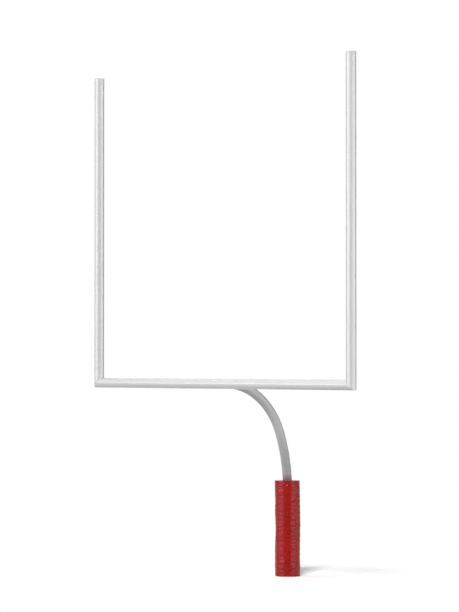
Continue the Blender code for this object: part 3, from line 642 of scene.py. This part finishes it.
def side_skin(quarter, which):
    """The cover's flat side towards the next panel.

    Which is 0 at the quarter's start and 1 at its end.
    """
    rows = np.concatenate([
        np.linspace(PAD_BOTTOM + 0.003, RECESS_TOP - 0.0005, 14),
        np.linspace(RECESS_TOP + 0.0005, MOUTH_BOTTOM, 70),
        np.linspace(MOUTH_BOTTOM, PAD_TOP - 0.003, 12)[1:],
    ])
    share = np.linspace(0, 1, 9)
    points = []
    for z in rows:
        if z < RECESS_TOP:
            inner = RECESS_RADIUS
        else:
            rise = min(1.0, max(0.0, (z - MOUTH_BOTTOM) / MOUTH_TAPER))
            inner = PAD_BORE + (MOUTH_RADIUS - PAD_BORE) * rise
        outer = PAD_RADIUS - 0.007
        edge, rim = min((z - PAD_BOTTOM, RIM), (PAD_TOP - z, TOP_RIM))
        if edge < rim:
            outer -= rim - math.sqrt(max(0.0, rim**2 - (rim - edge) ** 2))
        for s in share:
            r = inner + (outer - inner) * s
            inset = SPLIT + 0.0009
            inset += 0.0006 * (1 + noise.noise(Vector((r * 30, z * 12, quarter * 7 + which))))
            inset += 0.0007 * math.sin(math.pi * s) * math.sin(math.pi * (z / PAD_TOP))
            if which == 0:
                local = (r, inset)
            else:
                local = (inset, r)
            a = quarter * math.pi / 2
            points.append((local[0] * math.cos(a) - local[1] * math.sin(a),
                           local[0] * math.sin(a) + local[1] * math.cos(a), z))
    faces = grid_faces(len(rows), len(share))
    if which == 1:
        faces = [tuple(reversed(f)) for f in faces]
    return np.array(points), faces


def make_cover(name, quarter, body):
    """One quarter of the sewn cover. Returns its outer grid, for what is sewn on it."""
    grid, free = panel_skin(quarter)
    grid = buckle(name, grid, free, CLOTH_SEED + quarter)
    radius = np.hypot(grid[..., 0], grid[..., 1])
    angle = np.arctan2(grid[..., 1], grid[..., 0]) - quarter * math.pi / 2
    angle = np.mod(angle + math.pi, 2 * math.pi) - math.pi
    arc_place = angle * PAD_RADIUS
    height = grid[..., 2]
    depth = crease_field(arc_place, height, creases(FOLD_SEED + quarter))
    depth += HEM_DEPTH * np.exp(-(((height - HEM_Z) / HEM_WIDTH) ** 2))
    taken_in = sum(
        SEAM_DEPTH * np.exp(-(((arc_place - at) / SEAM_WIDTH) ** 2))
        for at in (SEAM_IN, ARC - SEAM_IN)
    )
    on_side = np.clip((radius - (PAD_RADIUS - 0.011)) / 0.004, 0, 1)
    on_side *= np.clip((height - PAD_BOTTOM - 0.006) / 0.02, 0, 1)
    on_side *= np.clip((PAD_TOP - 0.006 - height) / 0.02, 0, 1)
    depth = depth * on_side
    seed = Vector((quarter * 13.7, 0, 0))
    slow = np.array([
        noise.noise(Vector((x * 6, y * 6, z * 4.2)) + seed) for x, y, z in grid.reshape(-1, 3)
    ]).reshape(height.shape)
    broad = np.array([
        noise.noise(Vector((x * 5, y * 5, z * 31)) + seed) for x, y, z in grid.reshape(-1, 3)
    ]).reshape(height.shape)
    # Between the seams the panel stands a little proud
    crown = np.clip(np.sin(np.pi * np.clip(arc_place / ARC, 0, 1)), 0, 1) ** 0.7
    out = 0.0006 * crown + 0.0016 * slow + 0.0036 * broad * (0.3 + 0.7 * crown) - depth
    out -= taken_in
    out = np.maximum(out, -FOLD_IN) * on_side + lean(name, angle, radius, height)
    unit = np.stack([grid[..., 0], grid[..., 1], np.zeros_like(height)], axis=-1)
    unit /= np.linalg.norm(unit, axis=-1)[..., None]
    grid = grid + unit * out[..., None]
    rows, columns = height.shape
    parts = [(grid.reshape(-1, 3), grid_faces(rows, columns))]
    parts += [side_skin(quarter, which) for which in (0, 1)]
    verts, faces = merged(parts)
    cover = add_piece("cover_" + name, verts, faces, VINYL, body)
    # The crease attribute drives the vinyl's painted shade in the creases and its lighter
    # ridges
    values = np.zeros(len(verts), np.float32)
    values[: rows * columns] = (depth / FULL_CREASE).reshape(-1)
    attribute = cover.data.attributes.new("crease", "FLOAT", "POINT")
    attribute.data.foreach_set("value", values)
    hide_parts("pad_cover_" + name)
    return grid


def make_foam(name, quarter, body):
    """The foam core of one quarter: a closed ring sector with its recess, bore and mouth."""
    inset = COVER + 0.0016
    outer = PAD_RADIUS - COVER - FOLD_IN
    low, high = PAD_BOTTOM + inset, PAD_TOP - inset
    recess = RECESS_RADIUS + 0.0004
    profile = [(recess, low), (outer - 0.008, low), (outer - 0.002, low + 0.003),
               (outer, low + 0.009)]
    profile += [(outer, z) for z in np.linspace(0.05, PAD_TOP - 0.05, 30)]
    profile += [(outer, high - 0.009), (outer - 0.002, high - 0.003), (outer - 0.008, high)]
    profile += [(r, high) for r in np.linspace(outer - 0.02, DIP_FROM, 3)]
    profile += [(MOUTH_RADIUS + 0.004, high - DIP)]
    profile += [(MOUTH_RADIUS + 0.0006, high - DIP - 0.003)]
    profile += [(MOUTH_RADIUS + 0.0006, z) for z in
                np.linspace(PAD_TOP - 0.02, MOUTH_BOTTOM + MOUTH_TAPER, 6)]
    profile += [(PAD_BORE + 0.0006, z) for z in
                np.linspace(MOUTH_BOTTOM, RECESS_TOP + 0.006, 48)]
    profile += [(PAD_BORE + 0.004, RECESS_TOP + 0.0006)]
    profile += [(r, RECESS_TOP + 0.0006) for r in
                np.linspace(PAD_BORE + 0.012, RECESS_RADIUS - 0.01, 6)]
    profile += [(RECESS_RADIUS - 0.002, RECESS_TOP), (recess, RECESS_TOP - 0.004)]
    profile += [(recess, z) for z in np.linspace(RECESS_TOP - 0.02, 0.02, 8)]
    profile = np.array(profile)
    steps = 18
    rings = []
    for k in range(steps + 1):
        ring = []
        for radius, z in profile:
            edge = (SPLIT + 0.0032) / radius
            a = edge + (math.pi / 2 - 2 * edge) * k / steps
            place = Vector((radius * math.cos(a), radius * math.sin(a), z))
            soft = 0.0009 * noise.noise(place * 38 + Vector((0, 0, quarter * 5.0)))
            r = radius + (abs(soft) if radius < 0.17 else -abs(soft))
            r += float(lean(name, a, radius, z))
            a += quarter * math.pi / 2
            ring.append((r * math.cos(a), r * math.sin(a), z))
        rings.append(ring)
    count = len(profile)
    verts = np.array(rings).reshape(-1, 3)
    faces = [tuple(reversed(f)) for f in grid_faces(steps + 1, count, closed=True)]
    faces.append(tuple(range(count)))
    faces.append(tuple(reversed(range(steps * count, (steps + 1) * count))))
    foam = add_piece("foam_" + name, verts, faces, FOAM, body)
    mesh = foam.data
    bm = bmesh.new()
    bm.from_mesh(mesh)
    caps = [f for f in bm.faces if len(f.verts) > 4]
    bmesh.ops.triangulate(bm, faces=caps)
    bmesh.ops.recalc_face_normals(bm, faces=bm.faces)
    bm.to_mesh(mesh)
    bm.free()
    mesh.set_sharp_from_angle(angle=math.radians(50))
    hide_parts("pad_foam_" + name)


def outer_point(grid, arc_place, z):
    """The finished cover's surface at a distance along its arc and a height."""
    columns = grid.shape[1]
    inner = slice(len(EDGE_COLUMNS), columns - len(EDGE_COLUMNS))
    side = grid[FIRST_SIDE_ROW : FIRST_SIDE_ROW + SIDE_ROWS, inner]
    reach = ARC - 2 * SPLIT
    u = (arc_place - SPLIT - EDGE) / (reach - 2 * EDGE) * (side.shape[1] - 1)
    v = (z - (PAD_BOTTOM + RIM)) / (LIP_TOP - PAD_BOTTOM - RIM - TOP_RIM) * (SIDE_ROWS - 1)
    u = min(max(u, 0.0), side.shape[1] - 1.001)
    v = min(max(v, 0.0), SIDE_ROWS - 1.001)
    i, j = int(v), int(u)
    fv, fu = v - i, u - j
    top = side[i + 1, j] * (1 - fu) + side[i + 1, j + 1] * fu
    low = side[i, j] * (1 - fu) + side[i, j + 1] * fu
    return low * (1 - fv) + top * fv


STITCH_RADIUS = 0.00075
STITCH_LENGTH = 0.0068
STITCH_PITCH = 0.0105
SEAM_ROW_IN = 0.0125  # from a panel's edge to its seam stitches
HEM_ROW_OFF = 0.0065  # from the hem to each of its two rows


def stitch(start, end, lift):
    """One stitch that rises out of the cloth and goes back into it."""
    start, end, lift = np.asarray(start), np.asarray(end), np.asarray(lift)
    lift = lift / np.linalg.norm(lift)
    shares = (0.0, 0.18, 0.5, 0.82, 1.0)
    heights = (-0.0006, 0.0004, 0.0008, 0.0004, -0.0006)
    points = [start + (end - start) * s + lift * h for s, h in zip(shares, heights)]
    return tube_along(points, [STITCH_RADIUS * w for w in (0.6, 1, 1.1, 1, 0.6)], 5)


def stitched_rows(grid):
    """Seam stitches beside both edges of a panel, and two rows along its hem."""
    ends = []
    for place in (SEAM_ROW_IN, ARC - SEAM_ROW_IN):
        for z in np.arange(PAD_BOTTOM + 0.022, PAD_TOP - 0.026, STITCH_PITCH):
            ends.append(((place, z), (place, z + STITCH_LENGTH)))
    for z in (HEM_Z + HEM_ROW_OFF, HEM_Z - HEM_ROW_OFF):
        for place in np.arange(0.018, ARC - 0.022, STITCH_PITCH):
            ends.append(((place, z), (place + STITCH_LENGTH, z)))
    parts = []
    for first, last in ends:
        a, b = outer_point(grid, *first), outer_point(grid, *last)
        parts.append(stitch(a, b, (a[0], a[1], 0)))
    return merged(parts)


# Each panel's name, its quarter round the post, and its body
PANELS = (
    ("rear_right", 0, "pad_rear_right"),
    ("rear_left", 1, "pad_rear_left"),
    ("front_left", 2, "pad_front_left"),
    ("front_right", 3, "goalpost"),
)


def make_pad():
    """Four quarters: cover, foam and stitches."""
    for name, quarter, body in PANELS:
        grid = make_cover(name, quarter, body)
        make_foam(name, quarter, body)
        verts, faces = stitched_rows(grid)
        add_piece("stitches_" + name, verts, faces, THREAD, body)


WELT_STEP = 0.0035
WELT_IN = 0.0001  # the cord keeps this far inside the part's welt


def make_welts():
    """Piped cords on the seams that fold, pinched a little at each stitch."""
    seams = (
        ("right", 0.0, "goalpost"),
        ("front", -math.pi / 2, "goalpost"),
        ("left", math.pi, "pad_front_left"),
    )
    for name, angle, body in seams:
        low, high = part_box("pad_welt_" + name)
        heights = np.arange(low[2] + 0.0004, high[2] - 0.0004, WELT_STEP)
        points, radii = [], []
        for number, z in enumerate(heights):
            sway = 0.0003 * noise.noise(Vector((angle, z * 22, 3)))
            r = WELT_AT + sway - WELT_IN
            points.append((r * math.cos(angle), r * math.sin(angle), z))
            radii.append((WELT_RADIUS - WELT_IN) * (1 - 0.07 * (number % 3 == 0)))
        verts, faces = tube_along(points, radii, 12)
        welt = add_piece("welt_" + name, verts, faces, VINYL, body)
        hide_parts("pad_welt_" + name)


FLAP_WAVE = 0.0016  # how far the flap's free edge lifts
FLAP_SEED = 4


def flap_lift(height, place):
    """How far the flap stands off at a height and a distance round from the seam."""
    free = max(0.0, place / FLAP_REACH) ** 2
    return max(0.0, FLAP_WAVE * free * noise.noise(Vector((FLAP_SEED, height * 7, place * 9))))


def curved_strip(start, end, back, face, low, high, columns, rows, lifts=False):
    """A thin strip wrapped on the pad about its back seam: points and faces, closed."""
    layers = []
    for offset, sign in ((face, 1), (back, -1)):
        grid = np.zeros((rows, columns, 3))
        for i, z in enumerate(np.linspace(low, high, rows)):
            for j, s in enumerate(np.linspace(start, end, columns)):
                a = math.pi / 2 + s / PAD_RADIUS
                border = min(i, rows - 1 - i, j, columns - 1 - j)
                thin = 0.0004 if border == 0 else 0.0
                r = PAD_RADIUS + offset - sign * thin
                if lifts:
                    r += flap_lift(z, s)
                grid[i, j] = (r * math.cos(a), r * math.sin(a), z)
        layers.append(grid.reshape(-1, 3))
    outer = grid_faces(rows, columns)
    first = rows * columns
    inner = [tuple(reversed([first + v for v in f])) for f in outer]
    rim = [i * columns for i in range(rows)]
    rim += [(rows - 1) * columns + j for j in range(1, columns)]
    rim += [i * columns + columns - 1 for i in range(rows - 2, -1, -1)]
    rim += [j for j in range(columns - 2, 0, -1)]
    sides = [(a, b, first + b, first + a) for a, b in zip(rim, rim[1:] + rim[:1])]
    # The strip runs against the turn, so its faces are turned round to look outwards
    faces = [tuple(reversed(f)) for f in outer + inner + sides]
    return np.concatenate(layers), faces


def make_closure():
    """The flap over the back seam, its two strips and its stitched edges."""
    low, high = PAD_BOTTOM + FLAP_END, PAD_TOP - FLAP_END
    free = curved_strip(FLAP_START, FLAP_REACH, FLAP_BACK, FLAP_FACE, low, high, 20, 240,
                        lifts=True)
    root = curved_strip(FLAP_START + 0.002, -0.001, 0.0003, 0.0043, low, high, 5, 60)
    verts, faces = merged([free, root])
    flap = add_piece("closure_flap", verts, faces, VINYL, "pad_rear_right")
    # Random patches of the crease attribute, which the vinyl paints as crease shade
    attribute = flap.data.attributes.new("crease", "FLOAT", "POINT")
    values = [0.25 * max(0.0, noise.noise(Vector((v[0] * 9, 2, v[2] * 55)))) for v in verts]
    attribute.data.foreach_set("value", values)
    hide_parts("pad_closure_flap")
    for name, back, face, body in (
        ("hook", 0.0018, 0.0030, "pad_rear_right"),
        ("loop", 0.0003, 0.0015, "pad_rear_left"),
    ):
        verts, faces = curved_strip(STRIP_NEAR, STRIP_FAR, back, face, low + 0.002,
                                    high - 0.002, 12, 200)
        strip = add_piece(f"{name}_strip", verts, faces, TAPE, body)
        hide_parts(f"closure_{name}_strip")
    parts = []
    for s in (FLAP_START + 0.006, -0.006, FLAP_REACH - 0.006):
        for z in np.arange(low + 0.010, high - 0.014, STITCH_PITCH):
            ends = []
            for height in (z, z + STITCH_LENGTH):
                r = PAD_RADIUS + FLAP_FACE + flap_lift(height, s)
                a = math.pi / 2 + s / PAD_RADIUS
                ends.append(np.array((r * math.cos(a), r * math.sin(a), height)))
            parts.append(stitch(ends[0], ends[1], (ends[0][0], ends[0][1], 0)))
    verts, faces = merged(parts)
    add_piece("stitches_flap", verts, faces, THREAD, "pad_rear_right")


# Welds


RIPPLE_PITCH = 0.0042
SADDLE_BEAD = 0.0042
FLANGE_BEAD = 0.0038
GUSSET_BEAD = 0.0030
GUSSET_HALF = 0.005
GUSSET_TALL = 0.110
GUSSET_LONG = 0.070
BEAD_STEP = 0.0012


def bead(points, radius, closed=False):
    """A weld bead with the ripples of its puddle."""
    points = np.asarray(points, float)
    steps = np.linalg.norm(np.diff(points, axis=0), axis=1)
    length = np.concatenate([[0], np.cumsum(steps)])
    radii = radius * (1 + 0.10 * np.sin(length / RIPPLE_PITCH * 2 * math.pi))
    return tube_along(points, radii, 8, closed)


def make_welds():
    """Zinc-coated welds: gooseneck to saddle, and gooseneck and gussets to the flange."""
    around = np.linspace(0, 2 * math.pi, 360, endpoint=False)
    seat = NECK_RADIUS + 0.0010
    rise = seat * np.sin(around)
    depth = np.sqrt(SADDLE_OUTER**2 - np.minimum(np.abs(rise), SADDLE_OUTER - 0.001) ** 2)
    neck = np.stack([seat * np.cos(around), -SETBACK + depth + 0.0012, CROSSBAR_Z + rise], 1)
    verts, faces = bead(neck, SADDLE_BEAD, closed=True)
    add_piece("weld_saddle", verts, faces, ZINC, "goalpost")
    parts = []
    for number in range(4):
        a = number * math.pi / 2
        turn = Matrix.Rotation(a, 3, "Z")
        gap = math.asin((GUSSET_HALF + 0.004) / NECK_RADIUS)
        arc = np.linspace(gap, math.pi / 2 - gap, 60)
        ring = [turn @ Vector((NECK_RADIUS * math.cos(t), NECK_RADIUS * math.sin(t),
                               FOOT_Z + 0.001)) for t in arc]
        parts.append(bead(ring, FLANGE_BEAD))
        for side in (-1, 1):
            y = side * (GUSSET_HALF + 0.0008)
            up = [turn @ Vector((NECK_RADIUS + 0.0006, y, z)) for z in
                  np.arange(FOOT_Z + 0.006, FOOT_Z + GUSSET_TALL - 0.002, BEAD_STEP)]
            out = [turn @ Vector((x, y, FOOT_Z + 0.0006)) for x in
                   np.arange(NECK_RADIUS + 0.004, NECK_RADIUS + GUSSET_LONG - 0.003, BEAD_STEP)]
            parts.append(bead(up, GUSSET_BEAD))
            parts.append(bead(out, GUSSET_BEAD))
    verts, faces = merged(parts)
    add_piece("welds_foot", verts, faces, ZINC, "goalpost")


# Stage


def background_rays(m):
    """1 for rays that should see the white background: camera, glossy and transmission."""
    path = m.add("ShaderNodeLightPath")
    seen = m.math("MAXIMUM", path.outputs["Is Camera Ray"], path.outputs["Is Glossy Ray"])
    return m.math("MAXIMUM", seen, path.outputs["Is Transmission Ray"])


FLOOR_RADIUS = 60
FLOOR_TONE = 0.50  # for the light that the floor gives back to the object
FLOOR_SEEN_TONE = 2.05  # for the rays that see the background
# The seen floor fades to white between these distances from the shadow's middle
FLOOR_NEAR = 0.7
FLOOR_FAR = 2.0
SHADOW_BACK = 1.0  # middle of the shadow behind the foot, as the camera sees it
SHADOW_ASIDE = 0.25


def make_floor():
    """A pale floor. Away from the object it turns into the white background."""
    bm = bmesh.new()
    bmesh.ops.create_circle(bm, cap_ends=True, radius=FLOOR_RADIUS, segments=96)
    mesh = bpy.data.meshes.new("floor")
    bm.to_mesh(mesh)
    bm.free()
    floor = bpy.data.objects.new("floor", mesh)
    bpy.context.scene.collection.objects.link(floor)
    m = Nodes("floor")
    mesh.materials.append(m.material)
    m.tree.nodes.remove(m.shader)
    output = m.tree.nodes["Material Output"]
    seen = background_rays(m)
    matt = m.add("ShaderNodeBsdfDiffuse")
    m.join(m.range(seen, FLOOR_TONE, FLOOR_SEEN_TONE), matt.inputs["Color"])
    white = m.add("ShaderNodeEmission")
    white.inputs["Color"].default_value = (1, 1, 1, 1)
    place = m.add("ShaderNodeNewGeometry")
    distance = m.add("ShaderNodeVectorMath", operation="DISTANCE")
    m.join(place.outputs["Position"], distance.inputs[0])
    c, s = math.cos(CAMERA_TURN), math.sin(CAMERA_TURN)
    middle = Vector((-s, c, 0)) * SHADOW_BACK + Vector((c, s, 0)) * SHADOW_ASIDE
    distance.inputs[1].default_value = middle
    fade = m.add("ShaderNodeMapRange", interpolation_type="SMOOTHSTEP")
    fade.inputs["From Min"].default_value = FLOOR_NEAR
    fade.inputs["From Max"].default_value = FLOOR_FAR
    m.join(distance.outputs["Value"], fade.inputs["Value"])
    blend = m.add("ShaderNodeMixShader")
    m.join(m.math("MULTIPLY", seen, fade.outputs["Result"]), blend.inputs["Fac"])
    m.join(matt.outputs[0], blend.inputs[1])
    m.join(white.outputs[0], blend.inputs[2])
    m.join(blend.outputs[0], output.inputs["Surface"])


WORLD_FILL = 0.045
STAGE_MIDDLE = Vector((0, -SETBACK / 2, 3.4))
LAMP_DISTANCE = 80
FLAG_DISTANCE = 100


def make_world():
    """A weak even fill that shows as white behind the object."""
    world = bpy.data.worlds.new("studio")
    bpy.context.scene.world = world
    world.use_nodes = True
    m = Nodes("studio", world.node_tree)
    fill = world.node_tree.nodes["Background"]
    fill.inputs["Color"].default_value = (1, 1, 1, 1)
    fill.inputs["Strength"].default_value = WORLD_FILL
    white = m.add("ShaderNodeBackground")
    white.inputs["Color"].default_value = (1, 1, 1, 1)
    white.inputs["Strength"].default_value = 1.0
    blend = m.add("ShaderNodeMixShader")
    m.join(background_rays(m), blend.inputs["Fac"])
    m.join(fill.outputs[0], blend.inputs[1])
    m.join(white.outputs[0], blend.inputs[2])
    m.join(blend.outputs[0], world.node_tree.nodes["World Output"].inputs["Surface"])


def studio_place(turn, rise, distance):
    """A place by its turn from the camera's side, to the right above 0, and its way there."""
    bearing = CAMERA_TURN + math.radians(turn)
    rise = math.radians(rise)
    toward = Vector((math.sin(bearing) * math.cos(rise), -math.cos(bearing) * math.cos(rise),
                     math.sin(rise)))
    return STAGE_MIDDLE + toward * distance, toward


def add_softbox(name, turn, rise, wide, high, radiance):
    """A rectangular lamp that the camera doesn't see."""
    place, toward = studio_place(turn, rise, LAMP_DISTANCE)
    lamp = bpy.data.lights.new(name, "AREA")
    lamp.shape = "RECTANGLE"
    lamp.size = wide
    lamp.size_y = high
    lamp.energy = radiance * math.pi * wide * high
    obj = bpy.data.objects.new(name, lamp)
    obj.location = place
    obj.rotation_euler = (-toward).to_track_quat("-Z", "Y").to_euler()
    obj.visible_camera = False
    bpy.context.scene.collection.objects.link(obj)
    return obj


def add_flag(name, turn, spread, high):
    """A curved black card that only shows as a dark band in gloss. Spread is to each side."""
    verts = []
    for share in np.linspace(-1, 1, 25):
        foot, _ = studio_place(turn + share * spread, 0, FLAG_DISTANCE)
        verts += [(foot.x, foot.y, 0.0), (foot.x, foot.y, high)]
    faces = [(i, i + 1, i + 3, i + 2) for i in range(0, len(verts) - 2, 2)]
    mesh = bpy.data.meshes.new(name)
    mesh.from_pydata(verts, [], faces)
    m = Nodes(name)
    black = m.finish(Base_Color=(0, 0, 0, 1), Roughness=1.0, Specular_IOR_Level=0.0)
    mesh.materials.append(black)
    flag = bpy.data.objects.new(name, mesh)
    flag.visible_camera = False
    flag.visible_diffuse = False
    flag.visible_shadow = False
    bpy.context.scene.collection.objects.link(flag)


def make_camera():
    """The photograph's camera: turned to the right, pitched up a little, without roll."""
    c, s = math.cos(CAMERA_TURN), math.sin(CAMERA_TURN)
    right = Vector((c, s, 0))
    ahead = Vector((-s, c, 0)) * math.cos(CAMERA_PITCH) + Vector((0, 0, math.sin(CAMERA_PITCH)))
    up = right.cross(ahead)
    data = bpy.data.cameras.new("camera")
    data.lens = CAMERA_LENS
    data.sensor_width = 36
    data.clip_end = 500
    camera = bpy.data.objects.new("camera", data)
    camera.matrix_world = Matrix.Translation(CAMERA_AT) @ Matrix(
        (right, up, -ahead)).transposed().to_4x4()
    bpy.context.scene.collection.objects.link(camera)
    bpy.context.scene.camera = camera


def make_stage():
    """Floor, background, lamps by turn, rise, width, height and radiance, and black cards."""
    make_floor()
    make_world()
    add_softbox("left_box", -69, 6.8, 98, 33, 2.85)
    add_softbox("right_box", 61.5, 2.5, 92, 21, 3.3)
    add_softbox("key", -9, 34, 16, 16, 39.5)
    add_softbox("high_left", -122, 38, 88, 50, 0.9)
    rear = add_softbox("rear_fill", 180, 8, 43, 22, 3.0)
    rear.visible_glossy = False
    add_flag("front_flag", 0, 39, 42)
    add_flag("rear_flag_left", -136, 17, 80)
    add_flag("rear_flag_right", 136, 17, 80)
    bpy.context.scene.view_settings.view_transform = "Standard"


make_camera()
dress_frame()
make_pad()
make_welts()
make_closure()
make_welds()
make_stage()
